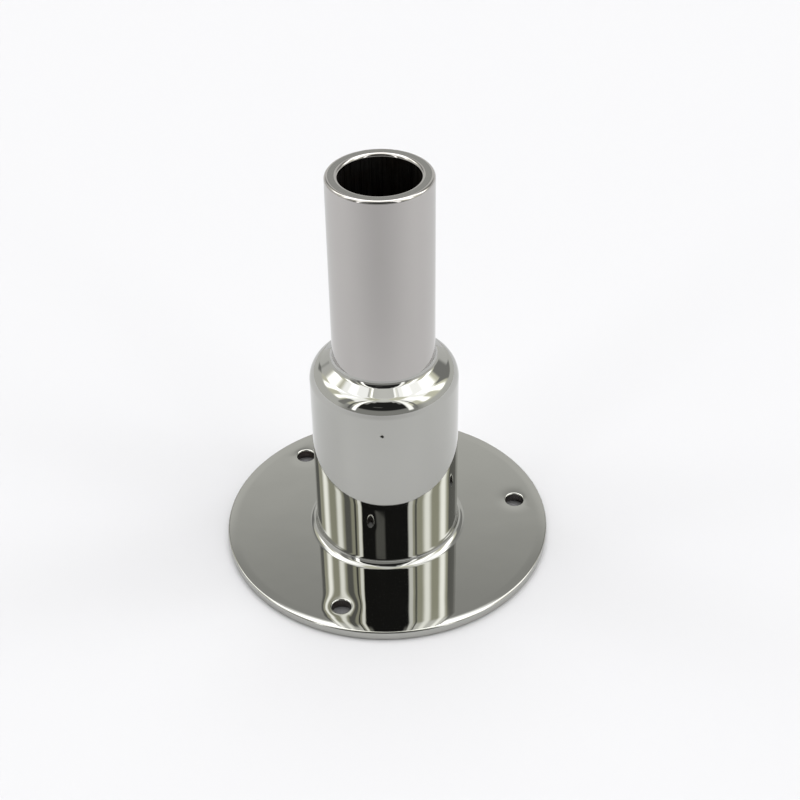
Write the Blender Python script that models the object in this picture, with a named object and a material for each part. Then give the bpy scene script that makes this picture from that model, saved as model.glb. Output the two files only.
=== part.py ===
"""Stanchion base: a welded and polished stainless deck fitting.

A round flange with three screw holes carries an upright barrel, whose top is spun in to a round
shoulder. A slimmer tube runs right through barrel and flange and stands above the shoulder as the
neck. Polished weld beads close the foot of the barrel, the foot of the neck and the underside.

Metres, +Z up. The origin is the centre of the flange's underside, where the fitting meets the deck.
"""

import math

import bmesh
import bpy

# Flange
FLANGE_RADIUS = 0.040
FLANGE_THICKNESS = 0.0025
FLANGE_EDGE_ROUNDING = 0.0005

# Screw holes
SCREW_HOLE_COUNT = 3
SCREW_HOLE_RADIUS = 0.00225
SCREW_HOLE_ROUNDING = 0.0004
SCREW_CIRCLE_RADIUS = 0.033
FIRST_HOLE_ANGLE = math.radians(10.0)

# Barrel
BARREL_RADIUS = 0.0175
BARREL_WALL = 0.0015
BARREL_TOP = 0.0516
SHOULDER_RADIUS = 0.0048

# Neck tube, whose lower end is flush with the underside
NECK_RADIUS = 0.012
NECK_WALL = 0.0030
NECK_TOP = 0.100
RIM_OUTER_ROUNDING = 0.0008
RIM_INNER_ROUNDING = 0.0007

# Weld beads
FOOT_BEAD_LEG = 0.0020
NECK_BEAD_LEG = 0.0030
GROOVE_DEPTH = 0.0016
BEAD_EDGE_ANGLE = math.radians(20.0)

# Clearance between neighbouring pieces, and how finely round shapes are cut
FIT_GAP = 0.0003
TURNED_STEPS = 72
HOLE_STEPS = 36
ROUNDING_STEPS = 3
SHOULDER_STEPS = 10
BEAD_STEPS = 5
SHARP_ANGLE = math.radians(35.0)
SAME_POINT = 1e-7

FULL_TURN = 2.0 * math.pi
QUARTER_TURN = 0.5 * math.pi

# Colour, roughness of each finish
MIRROR_POLISH = ((0.45, 0.45, 0.43), 0.04)
BUFFED_BEAD = ((0.44, 0.44, 0.42), 0.08)
GROUND_BEAD = ((0.41, 0.40, 0.37), 0.38)


def clear_scene():
    for old in list(bpy.data.objects):
        bpy.data.objects.remove(old, do_unlink=True)


def steel(name, finish):
    """A bare stainless steel of its own for one piece."""
    colour, roughness = finish
    material = bpy.data.materials.new(name)
    material.use_nodes = True
    shader = material.node_tree.nodes["Principled BSDF"]
    shader.inputs["Base Color"].default_value = (*colour, 1.0)
    shader.inputs["Metallic"].default_value = 1.0
    shader.inputs["Roughness"].default_value = roughness
    return material


def arc(centre, radius, start, end, steps):
    """Points (distance from the axis, height) along an arc, both ends included."""
    turns = [start + (end - start) * step / steps for step in range(steps + 1)]
    return [
        (centre[0] + radius * math.cos(turn), centre[1] + radius * math.sin(turn))
        for turn in turns
    ]


def turned(name, outline, finish, closed=True, steps=TURNED_STEPS):
    """An object turned about Z from an outline of (distance from the axis, height) points.

    A closed outline makes a ring. An open one starts and ends on the axis.
    """
    mesh = bmesh.new()
    points = [mesh.verts.new((distance, 0.0, height)) for distance, height in outline]
    ends = points[1:] + (points[:1] if closed else [])
    edges = [mesh.edges.new(pair) for pair in zip(points, ends)]
    bmesh.ops.spin(
        mesh,
        geom=points + edges,
        cent=(0.0, 0.0, 0.0),
        axis=(0.0, 0.0, 1.0),
        angle=FULL_TURN,
        steps=steps,
        use_merge=True,
    )
    bmesh.ops.remove_doubles(mesh, verts=mesh.verts, dist=SAME_POINT)
    bmesh.ops.recalc_face_normals(mesh, faces=mesh.faces)
    data = bpy.data.meshes.new(name)
    mesh.to_mesh(data)
    mesh.free()
    data.shade_smooth()
    data.set_sharp_from_angle(angle=SHARP_ANGLE)
    data.materials.append(steel(name + "_steel", finish))
    piece = bpy.data.objects.new(name, data)
    bpy.context.scene.collection.objects.link(piece)
    return piece


def stand_on(datum, piece, height=0.0):
    """Parents a piece to the deck datum, raised to its place."""
    piece.parent = datum
    piece.location.z = height
    return piece


def screw_hole_cutter(number):
    """A drill shape that flares at both faces of the flange, so the hole's edges are broken."""
    flare = SCREW_HOLE_ROUNDING
    reach = 2.0 * FLANGE_THICKNESS
    wide = SCREW_HOLE_RADIUS + flare + reach
    outline = [
        (0.0, -reach),
        (wide, -reach),
        (SCREW_HOLE_RADIUS, flare),
        (SCREW_HOLE_RADIUS, FLANGE_THICKNESS - flare),
        (wide, FLANGE_THICKNESS + reach),
        (0.0, FLANGE_THICKNESS + reach),
    ]
    name = f"screw_hole_cutter_{number + 1}"
    cutter = turned(name, outline, MIRROR_POLISH, closed=False, steps=HOLE_STEPS)
    angle = FIRST_HOLE_ANGLE + FULL_TURN * number / SCREW_HOLE_COUNT
    cutter.location = (
        SCREW_CIRCLE_RADIUS * math.cos(angle),
        SCREW_CIRCLE_RADIUS * math.sin(angle),
        0.0,
    )
    cutter.hide_render = True
    cutter.display_type = "WIRE"
    return cutter


def base_flange():
    """The round plate. Its centre hole is grooved below to take the underside bead."""
    bore = NECK_RADIUS + FIT_GAP
    rounding = FLANGE_EDGE_ROUNDING
    edge_centre = FLANGE_RADIUS - rounding
    lower_edge = arc((edge_centre, rounding), rounding, -QUARTER_TURN, 0.0, ROUNDING_STEPS)
    upper_edge = arc(
        (edge_centre, FLANGE_THICKNESS - rounding), rounding, 0.0, QUARTER_TURN, ROUNDING_STEPS
    )
    outline = [(bore, GROOVE_DEPTH), (bore + GROOVE_DEPTH, 0.0)]
    outline += lower_edge + upper_edge
    outline += [(bore, FLANGE_THICKNESS)]
    flange = turned("base_flange", outline, MIRROR_POLISH)
    for number in range(SCREW_HOLE_COUNT):
        hole = flange.modifiers.new(f"screw_hole_{number + 1}", "BOOLEAN")
        hole.operation = "DIFFERENCE"
        hole.object = screw_hole_cutter(number)
    return flange


def barrel_sleeve(foot):
    """The barrel, a plain tube spun in at the top until it all but meets the neck."""
    shoulder_centre = (BARREL_RADIUS - SHOULDER_RADIUS, BARREL_TOP - SHOULDER_RADIUS - foot)
    mouth = NECK_RADIUS + FIT_GAP
    inner_radius = SHOULDER_RADIUS - BARREL_WALL
    top = BARREL_TOP - foot
    outline = [(BARREL_RADIUS - BARREL_WALL, 0.0), (BARREL_RADIUS, 0.0)]
    outline += arc(shoulder_centre, SHOULDER_RADIUS, 0.0, QUARTER_TURN, SHOULDER_STEPS)
    outline += [(mouth, top), (mouth, top - BARREL_WALL)]
    outline += arc(shoulder_centre, inner_radius, QUARTER_TURN, 0.0, SHOULDER_STEPS)
    return turned("barrel_sleeve", outline, MIRROR_POLISH)


def neck_tube():
    """The tube that runs from the underside to the open rim, with polished edges."""
    bore = NECK_RADIUS - NECK_WALL
    outer, inner = RIM_OUTER_ROUNDING, RIM_INNER_ROUNDING
    outline = [(bore + inner, 0.0), (NECK_RADIUS, 0.0)]
    outline += arc(
        (NECK_RADIUS - outer, NECK_TOP - outer), outer, 0.0, QUARTER_TURN, 2 * ROUNDING_STEPS
    )
    outline += arc(
        (bore + inner, NECK_TOP - inner), inner, QUARTER_TURN, 2.0 * QUARTER_TURN, ROUNDING_STEPS
    )
    outline += [(bore, inner)]
    return turned("neck_tube", outline, MIRROR_POLISH)


def corner_bead(name, wall_radius, leg):
    """A hollow-faced bead that fills the corner between an upright wall and a level surface."""
    inside = wall_radius + FIT_GAP
    face_radius = leg - FIT_GAP
    face = arc(
        (wall_radius + leg, face_radius),
        face_radius,
        3.0 * QUARTER_TURN - BEAD_EDGE_ANGLE,
        2.0 * QUARTER_TURN + BEAD_EDGE_ANGLE,
        BEAD_STEPS,
    )
    outline = [(inside, 0.0), (face[0][0], 0.0)] + face + [(inside, face[-1][1])]
    return turned(name, outline, BUFFED_BEAD)


def underside_bead():
    """The seal bead that fills the flange's groove, ground flush with the underside."""
    inside = NECK_RADIUS + FIT_GAP
    leg = GROOVE_DEPTH - FIT_GAP * math.sqrt(2.0)
    outline = [(inside, 0.0), (inside + leg, 0.0), (inside, leg)]
    return turned("underside_weld", outline, GROUND_BEAD)


def build():
    clear_scene()
    datum = bpy.data.objects.new("deck_datum", None)
    bpy.context.scene.collection.objects.link(datum)
    foot = FLANGE_THICKNESS + FIT_GAP
    stand_on(datum, base_flange())
    stand_on(datum, barrel_sleeve(foot), foot)
    stand_on(datum, neck_tube())
    stand_on(datum, corner_bead("foot_weld", BARREL_RADIUS, FOOT_BEAD_LEG), foot)
    stand_on(datum, corner_bead("neck_weld", NECK_RADIUS, NECK_BEAD_LEG), BARREL_TOP + FIT_GAP)
    stand_on(datum, underside_bead())


build()
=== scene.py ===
import math

import bmesh
import bpy
from mathutils import Matrix, Vector


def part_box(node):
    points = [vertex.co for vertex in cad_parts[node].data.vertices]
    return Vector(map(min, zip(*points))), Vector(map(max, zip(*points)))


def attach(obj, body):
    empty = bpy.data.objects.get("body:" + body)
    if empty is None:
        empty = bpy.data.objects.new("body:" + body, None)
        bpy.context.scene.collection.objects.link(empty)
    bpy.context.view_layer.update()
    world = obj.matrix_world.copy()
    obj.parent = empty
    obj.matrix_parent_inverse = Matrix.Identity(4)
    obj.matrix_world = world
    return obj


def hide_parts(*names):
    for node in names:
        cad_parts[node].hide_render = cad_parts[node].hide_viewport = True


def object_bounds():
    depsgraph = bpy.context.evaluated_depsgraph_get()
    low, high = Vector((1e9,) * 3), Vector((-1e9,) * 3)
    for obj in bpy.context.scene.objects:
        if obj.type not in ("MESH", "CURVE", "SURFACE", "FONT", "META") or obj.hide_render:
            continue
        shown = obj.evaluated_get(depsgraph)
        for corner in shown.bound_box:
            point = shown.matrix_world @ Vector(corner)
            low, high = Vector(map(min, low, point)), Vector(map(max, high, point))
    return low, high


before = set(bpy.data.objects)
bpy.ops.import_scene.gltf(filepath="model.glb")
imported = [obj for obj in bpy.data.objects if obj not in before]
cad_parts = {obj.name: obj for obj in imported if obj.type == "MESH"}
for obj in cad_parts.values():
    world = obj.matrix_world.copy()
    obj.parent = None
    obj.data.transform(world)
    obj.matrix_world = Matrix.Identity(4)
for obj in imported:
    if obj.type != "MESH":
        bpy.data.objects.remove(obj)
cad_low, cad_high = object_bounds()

MM = 0.001
FULL_TURN = 2.0 * math.pi
QUARTER_TURN = 0.5 * math.pi
BODY = "root"

# Sizes that the frame's boxes give
FLANGE_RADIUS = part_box("base_flange")[1].x
FLANGE_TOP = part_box("base_flange")[1].z
BARREL_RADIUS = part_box("barrel_sleeve")[1].x
BARREL_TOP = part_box("barrel_sleeve")[1].z
NECK_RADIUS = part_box("neck_tube")[1].x
NECK_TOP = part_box("neck_tube")[1].z

# Sizes inside those boxes, near the CAD model's
FLANGE_EDGE_ROUNDING = 0.5 * MM
SCREW_HOLE_COUNT = 3
SCREW_HOLE_RADIUS = 2.25 * MM
SCREW_HOLE_ROUNDING = 0.4 * MM
SCREW_CIRCLE_RADIUS = 33.0 * MM
FIRST_HOLE_ANGLE = math.radians(10.0)
PIT_ANGLE = math.radians(-92.6)
PIT_HEIGHT = 42.4 * MM
BARREL_WALL = 1.5 * MM
SHOULDER_RADIUS = 4.8 * MM
BORE_RADIUS = 9.0 * MM
RIM_OUTER_ROUNDING = 0.8 * MM
RIM_INNER_ROUNDING = 0.8 * MM
GROOVE_DEPTH = 1.6 * MM

# Buffing: the wheel rounds the welds hollow, dips into the plate round each screw hole and rolls
# the plate off towards its rim
FOOT_FILLET = 1.95 * MM
NECK_FILLET = 1.8 * MM
NECK_TOE = 4.0 * MM
NECK_TOE_ANGLES = (math.radians(62.0), math.radians(56.0))
FILLET_WANDER = 0.05 * MM
WANDER_WAVES = ((0.6, 3.0, 0.8), (0.4, 7.0, 0.0))
WELD_RIPPLE = 0.015 * MM
WELD_PASSES = 5.0
PASS_WAVES = ((1.5, 2.0, 0.0), (0.7, 5.0, 0.0))
DISH_RADIUS = 6.3 * MM
DISH_DEPTH = 0.06 * MM
ROLL_WIDTH = 2.2 * MM
ROLL_DEPTH = 0.11 * MM

# How finely the pieces are turned
TURNED_STEPS = 360
HOLE_STEPS = 120
ARC_STEPS = 28
SHOULDER_STEPS = 48
DISH_RINGS = 20
ROLL_RINGS = 12
FLOOR_STEPS = 96
GUARD = 0.03 * MM
LONG_STRAIGHT = 8.0 * GUARD
SAME_POINT = 0.0001 * MM
SHARP_ANGLE = math.radians(35.0)
TUCK = 0.1 * MM

# Where the plate starts to roll off
ROLL_START = FLANGE_RADIUS - FLANGE_EDGE_ROUNDING - ROLL_WIDTH

# The camera, at the height and angle of the picture
CAMERA_PLACE = Vector((0.0, -0.28395, 0.25541))
CAMERA_YAW = math.radians(0.733)
CAMERA_PITCH = math.radians(37.248)
CAMERA_ROLL = math.radians(-0.855)
CAMERA_LENS = 67.69
CAMERA_SENSOR = 36.0
CAMERA_CLIP = (0.01, 20.0)

# Steel
STEEL = (0.45, 0.45, 0.425)
NECK_STEEL = (0.475, 0.460, 0.445)
WELD_STEEL = (0.45, 0.45, 0.43)
# The bore and screw hole colours are darkened far below the steel's own: painted shade inside the
# tube and the holes
BORE_PAINTED_SHADE_STEEL = (0.16, 0.155, 0.15)
HOLE_PAINTED_SHADE_STEEL = (0.20, 0.185, 0.175)
CUT_STEEL = (0.28, 0.277, 0.265)
MILL_STEEL = (0.41, 0.40, 0.37)
BROWN_BLOOM = (0.13, 0.105, 0.085)
STRAW_HEAT = (0.46, 0.40, 0.30)
PIT_BLACK = (0.02, 0.02, 0.02)

# Polish: features per metre, and how deep each kind is
SWELLS = 95.0
SWELL_DEPTH = 0.020 * MM
RIPPLES = 420.0
RIPPLE_DEPTH = 0.0012 * MM
POLISH_MARK_DEPTH = 0.0003 * MM
HAZE = 60.0
PIT_EDGE = (0.30 * MM, 0.62 * MM)
PIT_DEPTH = 0.15 * MM
PIT_RAGGED = 0.25 * MM
PIT_NOISE = 1700.0

# Other finishes, likewise
CUT_RINGS = 9000.0
CUT_GRIT = 2600.0
CUT_DEPTH = 0.0015 * MM
BLOOM = 140.0
DRAW_DEPTH = 0.010 * MM
MILL_CLOUD = 110.0
SCUFF_DEPTH = 0.008 * MM
GRINDING_DEPTH = 0.020 * MM
BEAD_RIPPLES = 700.0
BEAD_RIPPLE_DEPTH = 0.030 * MM

# How the fine marks run: marks per metre along each axis of the piece
SHEET_GRAIN = (500.0, 30.0, 30.0)
DRAWN_GRAIN = (260.0, 260.0, 24.0)
BUFFED_GRAIN = (300.0, 300.0, 300.0)
BORE_GRAIN = (2400.0, 2400.0, 60.0)
MILL_GRAIN = (3000.0, 90.0, 90.0)
GROUND_GRAIN = (1800.0, 260.0, 260.0)

# Stage. Azimuth is in degrees, 0 towards the front and growing to the right. Elevation is too, and
# 0 is level.
PALE = 0.955
WHITE = (1.0, 1.0, 1.0)
CREAM = (1.0, 0.99, 0.82)
GREY = (1.0, 1.0, 0.97)

# The table top. Under the plate its colour is darkened, a painted shade. The polished steel also
# sees painted shade
# on it in front and behind: (azimuth, half width, depth), which come up between two distances from
# the axis.
FLOOR_WHITE = 0.725
FLOOR_BLUE = 1.04
FLOOR_RADIUS = 1.4
FLOOR_GAP = 0.02 * MM
FLOOR_FADE = (0.9, 1.35)
UNDER_PLATE = (0.9, 0.99)
UNDER_PLATE_PAINTED_SHADE = 0.3
FLOOR_PAINTED_SHADES = ((-5.0, 84.0, 0.23), (180.0, 75.0, 0.17))
FLOOR_PAINTED_SHADE_RISE = (0.035, 0.15)

# The tent's brightness over elevation, and the panels, each painted over the ones before it:
# (colour, brightness, azimuth, half width, side softness, lowest, highest, end softness)
WALL_BEND = (37.0, 46.0)
WALL = (0.81, 0.46)
ZENITH_BEND = (50.0, 84.0)
ZENITH_GAIN = 0.70
PANELS = (
    (CREAM, 1.00, -90.0, 46.0, 6.0, 36.0, 90.0, 12.0),
    (CREAM, 1.10, 82.0, 42.0, 6.0, 28.0, 90.0, 14.0),
    (WHITE, 4.20, 180.0, 34.0, 14.0, 56.0, 72.0, 6.0),
    (WHITE, 1.90, -96.0, 38.0, 12.0, 52.0, 72.0, 5.0),
    (WHITE, 2.00, 86.0, 38.0, 12.0, 50.0, 70.0, 5.0),
    (WHITE, 3.40, -116.0, 1.5, 11.0, 34.0, 66.0, 8.0),
    (WHITE, 3.10, -84.0, 1.5, 8.0, 36.0, 62.0, 8.0),
    (WHITE, 3.30, 68.0, 1.5, 10.0, 30.0, 66.0, 8.0),
    (WHITE, 3.60, 103.5, 2.0, 11.0, 26.0, 60.0, 8.0),
    (GREY, 0.34, 134.0, 12.0, 5.0, 20.0, 44.0, 6.0),
    (GREY, 0.30, -147.0, 6.0, 6.0, 20.0, 46.0, 6.0),
    (GREY, 0.36, -67.0, 4.0, 4.0, 20.0, 50.0, 6.0),
    (GREY, 0.40, -4.0, 46.0, 24.0, -90.0, 24.0, 8.0),
    (WHITE, 2.80, -45.0, 1.5, 2.5, 12.0, 72.0, 8.0),
    (GREY, 0.20, -53.0, 1.0, 1.5, 12.0, 66.0, 8.0),
    (WHITE, 2.20, 38.0, 2.0, 3.0, 14.0, 72.0, 8.0),
    (GREY, 0.35, 47.0, 1.0, 1.5, 12.0, 66.0, 8.0),
    (WHITE, 0.03, -4.0, 36.5, 1.0, 28.0, 48.0, 8.0),
    (WHITE, 0.03, -3.0, 28.0, 5.0, 30.0, 62.0, 6.0),
    (WHITE, 0.03, -2.0, 20.0, 5.0, 30.0, 69.0, 5.0),
    (GREY, 0.30, -12.0, 5.0, 5.0, 41.8, 43.0, 0.7),
)


class Nodes:
    """Short ways to add and join shader nodes in one tree."""

    def __init__(self, tree):
        self.tree = tree

    def add(self, kind, **settings):
        node = self.tree.nodes.new(kind)
        for name, value in settings.items():
            setattr(node, name, value)
        return node

    def feed(self, socket, value):
        """Joins a socket to another, or gives it a plain value."""
        if isinstance(value, bpy.types.NodeSocket):
            self.tree.links.new(value, socket)
        else:
            socket.default_value = value

    def maths(self, operation, *values):
        node = self.add("ShaderNodeMath", operation=operation)
        for socket, value in zip(node.inputs, values):
            self.feed(socket, value)
        return node.outputs[0]

    def ramp(self, value, start, end, low=0.0, high=1.0):
        """Goes smoothly from low to high as value goes from start to end."""
        node = self.add("ShaderNodeMapRange", interpolation_type="SMOOTHSTEP")
        for socket, given in zip(node.inputs, (value, start, end, low, high)):
            self.feed(socket, given)
        return node.outputs[0]

    def azimuth(self, split):
        """Degrees round the axis of a place or a direction that is already split."""
        forward = self.maths("MULTIPLY", split.outputs["Y"], -1.0)
        return self.maths("DEGREES", self.maths("ARCTAN2", split.outputs["X"], forward))

    def degrees_from(self, middle, azimuth):
        turn = self.maths("SUBTRACT", azimuth, middle)
        return self.maths("ABSOLUTE", self.maths("WRAP", turn, 180.0, -180.0))

    def blend(self, share, first, second):
        """Mixes two colours."""
        node = self.add("ShaderNodeMix", data_type="RGBA")
        self.feed(node.inputs["Factor"], share)
        self.feed(node.inputs[6], first)
        self.feed(node.inputs[7], second)
        return node.outputs[2]

    def noise(self, place, scale, detail=2.0, roughness=0.5):
        node = self.add("ShaderNodeTexNoise")
        self.feed(node.inputs["Vector"], place)
        self.feed(node.inputs["Scale"], scale)
        self.feed(node.inputs["Detail"], detail)
        self.feed(node.inputs["Roughness"], roughness)
        return node.outputs["Fac"]

    def stretched(self, place, scale):
        """The same place with each axis scaled, for grain that runs one way."""
        node = self.add("ShaderNodeMapping")
        self.feed(node.inputs["Vector"], place)
        self.feed(node.inputs["Scale"], scale)
        return node.outputs["Vector"]

    def bump(self, height, distance, strength=1.0, over=None):
        node = self.add("ShaderNodeBump")
        self.feed(node.inputs["Height"], height)
        self.feed(node.inputs["Distance"], distance)
        self.feed(node.inputs["Strength"], strength)
        if over is not None:
            self.feed(node.inputs["Normal"], over)
        return node.outputs["Normal"]


def rgba(colour, strength=1.0):
    return tuple(part * strength for part in colour) + (1.0,)


# Materials


def steel(name, colour):
    """A bare metal, with its node helper, its shader and the place on the piece."""
    material = bpy.data.materials.new(name)
    material.use_nodes = True
    nodes = Nodes(material.node_tree)
    shader = material.node_tree.nodes["Principled BSDF"]
    shader.inputs["Metallic"].default_value = 1.0
    shader.inputs["Base Color"].default_value = rgba(colour)
    place = nodes.add("ShaderNodeTexCoord").outputs["Object"]
    return material, nodes, shader, place


def polished(name, colour, grain, pit=None):
    """Mirror polish: faint swells, a haze of fine marks along the grain, and a cloudy tint."""
    material, nodes, shader, place = steel(name, colour)
    swell = nodes.noise(place, SWELLS, 1.0)
    ripple = nodes.noise(place, RIPPLES, 1.0)
    marks = nodes.noise(nodes.stretched(place, grain), 1.0, 3.0, 0.6)
    haze = nodes.noise(place, HAZE, 3.0, 0.6)
    normal = nodes.bump(swell, SWELL_DEPTH)
    normal = nodes.bump(ripple, RIPPLE_DEPTH, over=normal)
    normal = nodes.bump(marks, POLISH_MARK_DEPTH, over=normal)
    tint = nodes.blend(haze, rgba(colour, 0.97), rgba(colour, 1.03))
    roughness = nodes.maths("ADD", nodes.ramp(haze, 0.35, 0.75, 0.02, 0.045),
                            nodes.ramp(marks, 0.55, 0.9, 0.0, 0.05))
    if pit is not None:
        away = nodes.add("ShaderNodeVectorMath", operation="DISTANCE")
        nodes.feed(away.inputs[0], place)
        nodes.feed(away.inputs[1], pit)
        ragged = nodes.ramp(nodes.noise(place, PIT_NOISE), 0.3, 0.7, 0.0, PIT_RAGGED)
        outside = nodes.ramp(nodes.maths("ADD", away.outputs["Value"], ragged), *PIT_EDGE)
        normal = nodes.bump(outside, PIT_DEPTH, over=normal)
        tint = nodes.blend(outside, rgba(PIT_BLACK), tint)
        roughness = nodes.maths("MAXIMUM", roughness, nodes.ramp(outside, 0.0, 1.0, 0.5, 0.0))
    nodes.feed(shader.inputs["Base Color"], tint)
    nodes.feed(shader.inputs["Roughness"], roughness)
    nodes.feed(shader.inputs["Normal"], normal)
    return material


def lathe_cut(name, colour):
    """A cut face: fine rings about the axis, rubbed over with fine cloth."""
    material, nodes, shader, place = steel(name, colour)
    split = nodes.add("ShaderNodeSeparateXYZ")
    nodes.feed(split.inputs[0], place)
    across = nodes.maths("POWER", split.outputs["X"], 2.0)
    along = nodes.maths("POWER", split.outputs["Y"], 2.0)
    distance = nodes.maths("SQRT", nodes.maths("ADD", across, along))
    rings = nodes.add("ShaderNodeTexNoise", noise_dimensions="1D")
    nodes.feed(rings.inputs["W"], distance)
    nodes.feed(rings.inputs["Scale"], CUT_RINGS)
    grit = nodes.noise(place, CUT_GRIT, 2.0)
    normal = nodes.bump(rings.outputs["Fac"], CUT_DEPTH)
    normal = nodes.bump(grit, CUT_DEPTH, over=normal)
    nodes.feed(shader.inputs["Roughness"], nodes.ramp(grit, 0.3, 0.7, 0.14, 0.22))
    nodes.feed(shader.inputs["Base Color"],
               nodes.blend(grit, rgba(colour, 0.92), rgba(colour, 1.08)))
    nodes.feed(shader.inputs["Normal"], normal)
    return material


def drawn_bore(name, colour):
    """The inside of the tube: dull, with long draw marks and a thin brown bloom, over a darkened
    colour that is painted shade.
    """
    material, nodes, shader, place = steel(name, colour)
    marks = nodes.noise(nodes.stretched(place, BORE_GRAIN), 1.0, 3.0, 0.6)
    bloom = nodes.noise(place, BLOOM, 3.0, 0.6)
    nodes.feed(shader.inputs["Base Color"],
               nodes.blend(nodes.ramp(bloom, 0.4, 0.7), rgba(colour), rgba(BROWN_BLOOM)))
    nodes.feed(shader.inputs["Roughness"], nodes.ramp(marks, 0.3, 0.7, 0.24, 0.38))
    nodes.feed(shader.inputs["Normal"], nodes.bump(marks, DRAW_DEPTH))
    return material


def mill_finish(name, colour):
    """The underside of the plate: rolled sheet with long fine scuffs."""
    material, nodes, shader, place = steel(name, colour)
    scuffs = nodes.noise(nodes.stretched(place, MILL_GRAIN), 1.0, 4.0, 0.6)
    cloud = nodes.noise(place, MILL_CLOUD, 3.0)
    nodes.feed(shader.inputs["Base Color"],
               nodes.blend(cloud, rgba(colour, 0.9), rgba(colour, 1.1)))
    nodes.feed(shader.inputs["Roughness"], nodes.ramp(scuffs, 0.3, 0.7, 0.28, 0.42))
    nodes.feed(shader.inputs["Normal"], nodes.bump(scuffs, SCUFF_DEPTH))
    return material


def ground_bead(name, colour):
    """A weld ground flush: grinding marks, with the bead's ripples just showing."""
    material, nodes, shader, place = steel(name, colour)
    marks = nodes.noise(nodes.stretched(place, GROUND_GRAIN), 1.0, 4.0, 0.7)
    ripples = nodes.noise(place, BEAD_RIPPLES, 1.0)
    normal = nodes.bump(marks, GRINDING_DEPTH)
    normal = nodes.bump(ripples, BEAD_RIPPLE_DEPTH, over=normal)
    nodes.feed(shader.inputs["Base Color"],
               nodes.blend(nodes.ramp(ripples, 0.45, 0.75), rgba(colour), rgba(STRAW_HEAT)))
    nodes.feed(shader.inputs["Roughness"], nodes.ramp(marks, 0.3, 0.7, 0.32, 0.5))
    nodes.feed(shader.inputs["Normal"], normal)
    return material


# Shapes. An outline is a list of (finish, distance from the axis, height).


def run(finish, *points):
    return [(finish, distance, height) for distance, height in points]


def arc(finish, centre, radius, start, end, steps=ARC_STEPS):
    """An arc, both ends included, for an outline."""
    turns = [start + (end - start) * step / steps for step in range(steps + 1)]
    return [
        (finish, centre[0] + radius * math.cos(turn), centre[1] + radius * math.sin(turn))
        for turn in turns
    ]


def without_doubles(outline, closed):
    """Leaves out each point that stands where the one before it does."""
    return [
        point
        for index, point in enumerate(outline)
        if (index == 0 and not closed)
        or math.dist(point[1:], outline[index - 1][1:]) > SAME_POINT
    ]


def guarded(outline, closed=True):
    """Adds a point near each end of every long straight, to keep smooth shading in the bends."""
    result = []
    last = len(outline) if closed else len(outline) - 1
    for index, point in enumerate(outline):
        result.append(point)
        if index == last:
            break
        finish, distance, height = outline[(index + 1) % len(outline)]
        length = math.hypot(distance - point[1], height - point[2])
        if length > LONG_STRAIGHT:
            for share in (GUARD / length, 1.0 - GUARD / length):
                result.append((
                    finish,
                    point[1] + (distance - point[1]) * share,
                    point[2] + (height - point[2]) * share,
                ))
    return result


def skin(mesh, outline_at, steps, centre=(0.0, 0.0), closed=True):
    """Turns an outline about an upright axis and returns its rings, one for each outline point."""
    columns = []
    for step in range(steps):
        turn = FULL_TURN * step / steps
        outline = guarded(without_doubles(outline_at(turn), closed), closed)
        columns.append([
            mesh.verts.new((
                centre[0] + distance * math.cos(turn),
                centre[1] + distance * math.sin(turn),
                height,
            ))
            for _, distance, height in outline
        ])
    last = len(outline) if closed else len(outline) - 1
    for step in range(steps):
        here, there = columns[step], columns[(step + 1) % steps]
        for low in range(last):
            high = (low + 1) % len(outline)
            face = mesh.faces.new((here[low], there[low], there[high], here[high]))
            face.material_index = outline[high][0]
    return list(zip(*columns))


def fill(mesh, rings, finish, up):
    """Fills the level face between one outer ring and the rings inside it."""
    edges = [
        mesh.edges.get((ring[index - 1], ring[index]))
        for ring in rings
        for index in range(len(ring))
    ]
    made = bmesh.ops.triangle_fill(
        mesh, use_beauty=True, use_dissolve=False, edges=edges, normal=(0.0, 0.0, up)
    )
    for face in made["geom"]:
        if isinstance(face, bmesh.types.BMFace):
            face.material_index = finish


def finished(name, mesh, finishes):
    """Closes off a mesh as an object with its finishes."""
    bmesh.ops.recalc_face_normals(mesh, faces=mesh.faces)
    data = bpy.data.meshes.new(name)
    mesh.to_mesh(data)
    mesh.free()
    data.shade_smooth()
    data.set_sharp_from_angle(angle=SHARP_ANGLE)
    for material in finishes:
        data.materials.append(material)
    piece = bpy.data.objects.new(name, data)
    bpy.context.scene.collection.objects.link(piece)
    return piece


def turned(name, outline_at, finishes):
    mesh = bmesh.new()
    skin(mesh, outline_at, TURNED_STEPS)
    return finished(name, mesh, finishes)


def screw_hole(mesh, angle, plate_finish, hole_finish):
    """A screw hole: the dish that buffing leaves, the rounded edge, the wall and the lower edge.

    The dish stops short of where the plate starts to roll off.
    """
    lip = SCREW_HOLE_RADIUS + SCREW_HOLE_ROUNDING
    lip_height = FLANGE_TOP - DISH_DEPTH
    edge = arc(plate_finish, (lip, lip_height - SCREW_HOLE_ROUNDING), SCREW_HOLE_ROUNDING,
               QUARTER_TURN, 2.0 * QUARTER_TURN)
    edge += arc(hole_finish, (lip, SCREW_HOLE_ROUNDING), SCREW_HOLE_ROUNDING,
                2.0 * QUARTER_TURN, 3.0 * QUARTER_TURN)

    def outline_at(turn):
        along = SCREW_CIRCLE_RADIUS * math.cos(turn - angle)
        limit = math.sqrt(along ** 2 - SCREW_CIRCLE_RADIUS ** 2 + ROLL_START ** 2) - along - TUCK
        widest = min(DISH_RADIUS, limit)
        dish = []
        for ring in range(DISH_RINGS):
            share = ring / DISH_RINGS
            distance = widest + (lip - widest) * share
            dish.append((plate_finish, distance, FLANGE_TOP - DISH_DEPTH * share ** 3))
        return dish + edge

    centre = (SCREW_CIRCLE_RADIUS * math.cos(angle), SCREW_CIRCLE_RADIUS * math.sin(angle))
    rings = skin(mesh, outline_at, HOLE_STEPS, centre, closed=False)
    return rings[0], rings[-1]


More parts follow.
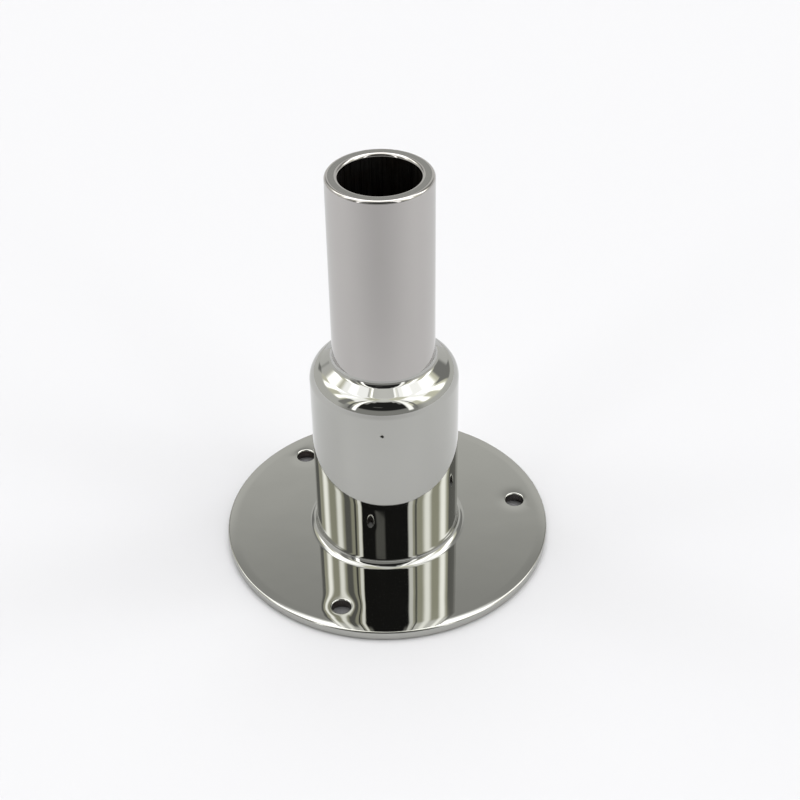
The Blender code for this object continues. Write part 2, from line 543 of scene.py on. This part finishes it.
def flange_plate():
    """The round plate with its rounded rim, screw holes and grooved centre hole."""
    mesh = bmesh.new()
    plate, hole, underside = 0, 1, 2
    edge = FLANGE_EDGE_ROUNDING
    inside = FLANGE_RADIUS - edge
    shares = [ring / ROLL_RINGS for ring in range(ROLL_RINGS)]
    rim = run(plate, *(
        (ROLL_START + ROLL_WIDTH * share, FLANGE_TOP - ROLL_DEPTH * share ** 2)
        for share in shares
    ))
    roll_slope = math.atan(2.0 * ROLL_DEPTH / ROLL_WIDTH)
    rim += arc(plate, (inside, FLANGE_TOP - ROLL_DEPTH - edge), edge,
               QUARTER_TURN - roll_slope, 0.0)
    rim += arc(plate, (inside, edge), edge, 0.0, -QUARTER_TURN)
    rim += run(underside, (inside - GUARD, 0.0))
    rim_rings = skin(mesh, lambda turn: rim, TURNED_STEPS, closed=False)
    centre_hole = run(underside, (NECK_RADIUS, FLANGE_TOP), (NECK_RADIUS, GROOVE_DEPTH),
                      (NECK_RADIUS + GROOVE_DEPTH, 0.0))
    centre_rings = skin(mesh, lambda turn: centre_hole, TURNED_STEPS, closed=False)
    top_rings = [rim_rings[0], centre_rings[0]]
    lower_rings = [rim_rings[-1], centre_rings[-1]]
    for number in range(SCREW_HOLE_COUNT):
        angle = FIRST_HOLE_ANGLE + FULL_TURN * number / SCREW_HOLE_COUNT
        upper, lower = screw_hole(mesh, angle, plate, hole)
        top_rings.append(upper)
        lower_rings.append(lower)
    fill(mesh, top_rings, plate, 1.0)
    fill(mesh, lower_rings, underside, -1.0)
    finishes = [
        polished("polished_plate", STEEL, SHEET_GRAIN),
        drawn_bore("screw_hole_wall", HOLE_PAINTED_SHADE_STEEL),
        mill_finish("plate_underside", MILL_STEEL),
    ]
    return finished("flange_plate", mesh, finishes)


def barrel_shell():
    """The barrel tube, spun in at the top to a round shoulder that meets the neck."""
    centre = (BARREL_RADIUS - SHOULDER_RADIUS, BARREL_TOP - SHOULDER_RADIUS)
    foot = FLANGE_TOP
    inner = SHOULDER_RADIUS - BARREL_WALL
    outline = run(0, (BARREL_RADIUS - BARREL_WALL, foot), (BARREL_RADIUS, foot))
    outline += arc(0, centre, SHOULDER_RADIUS, 0.0, QUARTER_TURN, SHOULDER_STEPS)
    outline += run(1, (NECK_RADIUS, BARREL_TOP), (NECK_RADIUS, BARREL_TOP - BARREL_WALL))
    outline += arc(1, centre, inner, QUARTER_TURN, 0.0)
    pit = (
        BARREL_RADIUS * math.cos(PIT_ANGLE),
        BARREL_RADIUS * math.sin(PIT_ANGLE),
        PIT_HEIGHT,
    )
    finishes = [
        polished("polished_barrel_steel", STEEL, DRAWN_GRAIN, pit=pit),
        drawn_bore("barrel_inside", BORE_PAINTED_SHADE_STEEL),
    ]
    return turned("barrel_shell", lambda turn: outline, finishes)


def neck_pipe():
    """The through tube: polished outside, with a satin cut rim and a dull bore whose darkened
    colour is painted shade.
    """
    outside, rim, bore = 0, 1, 2
    outer, inner = RIM_OUTER_ROUNDING, RIM_INNER_ROUNDING
    outline = run(rim, (BORE_RADIUS + inner, 0.0), (NECK_RADIUS - inner, 0.0))
    outline += arc(outside, (NECK_RADIUS - inner, inner), inner, -QUARTER_TURN, 0.0)
    outline += arc(outside, (NECK_RADIUS - outer, NECK_TOP - outer), outer, 0.0, QUARTER_TURN)
    outline += run(rim, (BORE_RADIUS + inner, NECK_TOP))
    outline += arc(outside, (BORE_RADIUS + inner, NECK_TOP - inner), inner,
                   QUARTER_TURN, 2.0 * QUARTER_TURN)
    outline += arc(bore, (BORE_RADIUS + inner, inner), inner,
                   2.0 * QUARTER_TURN, 3.0 * QUARTER_TURN)
    finishes = [
        polished("polished_tube_steel", NECK_STEEL, DRAWN_GRAIN),
        lathe_cut("cut_rim", CUT_STEEL),
        drawn_bore("drawn_bore_steel", BORE_PAINTED_SHADE_STEEL),
    ]
    return turned("neck_pipe", lambda turn: outline, finishes)


def waves(table, turn):
    """A sum of sine waves round the axis, each of (size, waves in a turn, start)."""
    return sum(size * math.sin(count * turn + start) for size, count, start in table)


def wander(turn, size):
    """A slow change round the weld, as a hand leaves it."""
    return size + FILLET_WANDER * waves(WANDER_WAVES, turn)


def hollow(centre, size, turn, steps=SHOULDER_STEPS):
    """A quarter-round weld face, from its lower end up, rippled by several passes."""
    face = []
    for step in range(steps + 1):
        share = step / steps
        swing = math.sin(WELD_PASSES * math.pi * share + waves(PASS_WAVES, turn))
        radius = size + WELD_RIPPLE * math.sin(math.pi * share) * swing
        bend = 3.0 * QUARTER_TURN - QUARTER_TURN * share
        face.append((0, centre[0] + radius * math.cos(bend), centre[1] + radius * math.sin(bend)))
    return face


def foot_fillet():
    """The weld between barrel and plate, buffed hollow and tangent to both."""
    def outline_at(turn):
        size = wander(turn, FOOT_FILLET)
        centre = (BARREL_RADIUS + size, FLANGE_TOP + size)
        face = hollow(centre, size, turn)
        inside = BARREL_RADIUS - TUCK
        hidden = run(0, (inside, FLANGE_TOP + size), (inside, FLANGE_TOP - TUCK),
                     (BARREL_RADIUS + size, FLANGE_TOP - TUCK))
        return face + hidden

    finish = polished("buffed_foot_weld", WELD_STEEL, BUFFED_GRAIN)
    return turned("foot_fillet", outline_at, [finish])


def neck_fillet():
    """The weld between shoulder and neck: a shallow toe that turns up into a tight root."""
    toe_turn, root_turn = NECK_TOE_ANGLES
    half = 2.0 * QUARTER_TURN

    def outline_at(turn):
        root = wander(turn, NECK_FILLET)
        reach = SHOULDER_RADIUS + NECK_TOE
        toe_centre = (
            BARREL_RADIUS - SHOULDER_RADIUS + reach * math.cos(toe_turn),
            BARREL_TOP - SHOULDER_RADIUS + reach * math.sin(toe_turn),
        )
        toe = arc(0, toe_centre, NECK_TOE, half + toe_turn, half + root_turn)
        start = NECK_RADIUS + root * (1.0 - math.cos(root_turn))
        rise = (toe[-1][1] - start) / math.tan(root_turn)
        root_centre = (NECK_RADIUS + root, toe[-1][2] + rise + root * math.sin(root_turn))
        face = toe + arc(0, root_centre, root, half + root_turn, half)
        _, distance, height = face[0]
        hidden = run(0, (NECK_RADIUS - TUCK, root_centre[1]), (NECK_RADIUS - TUCK, height - TUCK),
                     (distance, height - TUCK))
        return face + hidden

    finish = polished("buffed_neck_weld", WELD_STEEL, BUFFED_GRAIN)
    return turned("neck_fillet", outline_at, [finish])


def underside_seal():
    """The weld in the plate's groove, ground flush with the underside."""
    outline = run(0, (NECK_RADIUS - TUCK, 0.0), (NECK_RADIUS - TUCK, GROOVE_DEPTH),
                  (NECK_RADIUS, GROOVE_DEPTH), (NECK_RADIUS + GROOVE_DEPTH, 0.0))
    finish = ground_bead("ground_seal", MILL_STEEL)
    return turned("underside_seal", lambda turn: outline, [finish])


def place_pieces():
    """Each piece rides on the body and stands in for its CAD node, which is hidden."""
    for piece, node, slot in (
        (flange_plate(), "base_flange", "polished_flange"),
        (barrel_shell(), "barrel_sleeve", "polished_barrel"),
        (neck_pipe(), "neck_tube", "polished_tube"),
        (foot_fillet(), "foot_weld", "buffed_weld"),
        (neck_fillet(), "neck_weld", "buffed_weld"),
        (underside_seal(), "underside_weld", "ground_weld"),
    ):
        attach(piece, BODY)
        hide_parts(node)


# Stage


def floor_tone(nodes, place, away):
    """The table's brightness, with painted shade: dark under the plate and, in reflections alone,
    front and back.
    """
    split = nodes.add("ShaderNodeSeparateXYZ")
    nodes.feed(split.inputs[0], place)
    azimuth = nodes.azimuth(split)
    rise = nodes.ramp(away, *FLOOR_PAINTED_SHADE_RISE)
    tone = FLOOR_WHITE
    # Painted shade on the table in front and behind, seen only in the steel's reflections
    for middle, half, depth in FLOOR_PAINTED_SHADES:
        side = nodes.ramp(nodes.degrees_from(middle, azimuth), half, 0.0, 0.0, depth)
        kept = nodes.maths("SUBTRACT", 1.0, nodes.maths("MULTIPLY", side, rise))
        tone = nodes.maths("MULTIPLY", tone, kept)
    seen = nodes.add("ShaderNodeLightPath").outputs["Is Camera Ray"]
    tone = nodes.maths("MAXIMUM", tone, nodes.maths("MULTIPLY", seen, FLOOR_WHITE))
    # Painted shade under the plate, seen through the holes
    edges = [share * FLANGE_RADIUS for share in UNDER_PLATE]
    return nodes.maths("MULTIPLY", tone, nodes.ramp(away, *edges, UNDER_PLATE_PAINTED_SHADE, 1.0))


def floor():
    """A pale table top that fades out before its edge."""
    mesh = bmesh.new()
    bmesh.ops.create_circle(mesh, cap_ends=True, radius=FLOOR_RADIUS, segments=FLOOR_STEPS)
    data = bpy.data.meshes.new("floor")
    mesh.to_mesh(data)
    mesh.free()
    material = bpy.data.materials.new("table_white")
    material.use_nodes = True
    tree = material.node_tree
    tree.nodes.clear()
    nodes = Nodes(tree)
    place = nodes.add("ShaderNodeTexCoord").outputs["Object"]
    away = nodes.add("ShaderNodeVectorMath", operation="LENGTH")
    nodes.feed(away.inputs[0], place)
    tone = floor_tone(nodes, place, away.outputs["Value"])
    grey = nodes.add("ShaderNodeCombineColor")
    for socket, gain in zip(grey.inputs, (1.0, 1.0, FLOOR_BLUE)):
        nodes.feed(socket, nodes.maths("MULTIPLY", tone, gain))
    white = nodes.add("ShaderNodeBsdfDiffuse")
    nodes.feed(white.inputs["Color"], grey.outputs[0])
    clear = nodes.add("ShaderNodeBsdfTransparent")
    mix = nodes.add("ShaderNodeMixShader")
    nodes.feed(mix.inputs[0], nodes.ramp(away.outputs["Value"], *FLOOR_FADE))
    nodes.feed(mix.inputs[1], white.outputs[0])
    nodes.feed(mix.inputs[2], clear.outputs[0])
    nodes.feed(nodes.add("ShaderNodeOutputMaterial").inputs["Surface"], mix.outputs[0])
    data.materials.append(material)
    table = bpy.data.objects.new("floor", data)
    table.location.z = cad_low.z - FLOOR_GAP
    bpy.context.scene.collection.objects.link(table)


def light_tent():
    """A white tent with a dark front opening and lamps at its sides, seen on a plain backdrop."""
    world = bpy.data.worlds.new("light_tent")
    world.use_nodes = True
    bpy.context.scene.world = world
    tree = world.node_tree
    tree.nodes.clear()
    nodes = Nodes(tree)
    split = nodes.add("ShaderNodeSeparateXYZ")
    nodes.feed(split.inputs[0], nodes.add("ShaderNodeTexCoord").outputs["Generated"])
    azimuth = nodes.azimuth(split)
    elevation = nodes.maths("DEGREES", nodes.maths("ARCSINE", split.outputs["Z"]))
    wall = nodes.maths("ADD", nodes.ramp(elevation, *WALL_BEND, *WALL),
                       nodes.ramp(elevation, *ZENITH_BEND, 0.0, ZENITH_GAIN))
    colour = nodes.add("ShaderNodeCombineColor")
    for socket, share in zip(colour.inputs, GREY):
        nodes.feed(socket, nodes.maths("MULTIPLY", wall, share))
    seen = colour.outputs[0]
    for tone, brightness, middle, half, side_soft, lowest, highest, end_soft in PANELS:
        side = nodes.ramp(nodes.degrees_from(middle, azimuth), half + side_soft, half)
        low = nodes.ramp(elevation, lowest - end_soft, lowest)
        high = nodes.ramp(elevation, highest + end_soft, highest)
        mask = nodes.maths("MULTIPLY", side, nodes.maths("MULTIPLY", low, high))
        seen = nodes.blend(mask, seen, rgba(tone, brightness))
    tent = nodes.add("ShaderNodeBackground")
    nodes.feed(tent.inputs["Color"], seen)
    backdrop = nodes.add("ShaderNodeBackground")
    backdrop.inputs["Color"].default_value = (PALE, PALE, PALE, 1.0)
    mix = nodes.add("ShaderNodeMixShader")
    nodes.feed(mix.inputs[0], nodes.add("ShaderNodeLightPath").outputs["Is Camera Ray"])
    nodes.feed(mix.inputs[1], tent.outputs[0])
    nodes.feed(mix.inputs[2], backdrop.outputs[0])
    nodes.feed(nodes.add("ShaderNodeOutputWorld").inputs["Surface"], mix.outputs[0])


def camera():
    data = bpy.data.cameras.new("camera")
    data.lens = CAMERA_LENS
    data.sensor_width = CAMERA_SENSOR
    data.clip_start, data.clip_end = CAMERA_CLIP
    shot = bpy.data.objects.new("camera", data)
    turn = (
        Matrix.Rotation(-CAMERA_YAW, 4, "Z")
        @ Matrix.Rotation(QUARTER_TURN - CAMERA_PITCH, 4, "X")
        @ Matrix.Rotation(CAMERA_ROLL, 4, "Z")
    )
    shot.matrix_world = Matrix.Translation(CAMERA_PLACE) @ turn
    bpy.context.scene.collection.objects.link(shot)
    bpy.context.scene.camera = shot


place_pieces()
floor()
light_tent()
camera()
bpy.context.scene.view_settings.view_transform = "Standard"
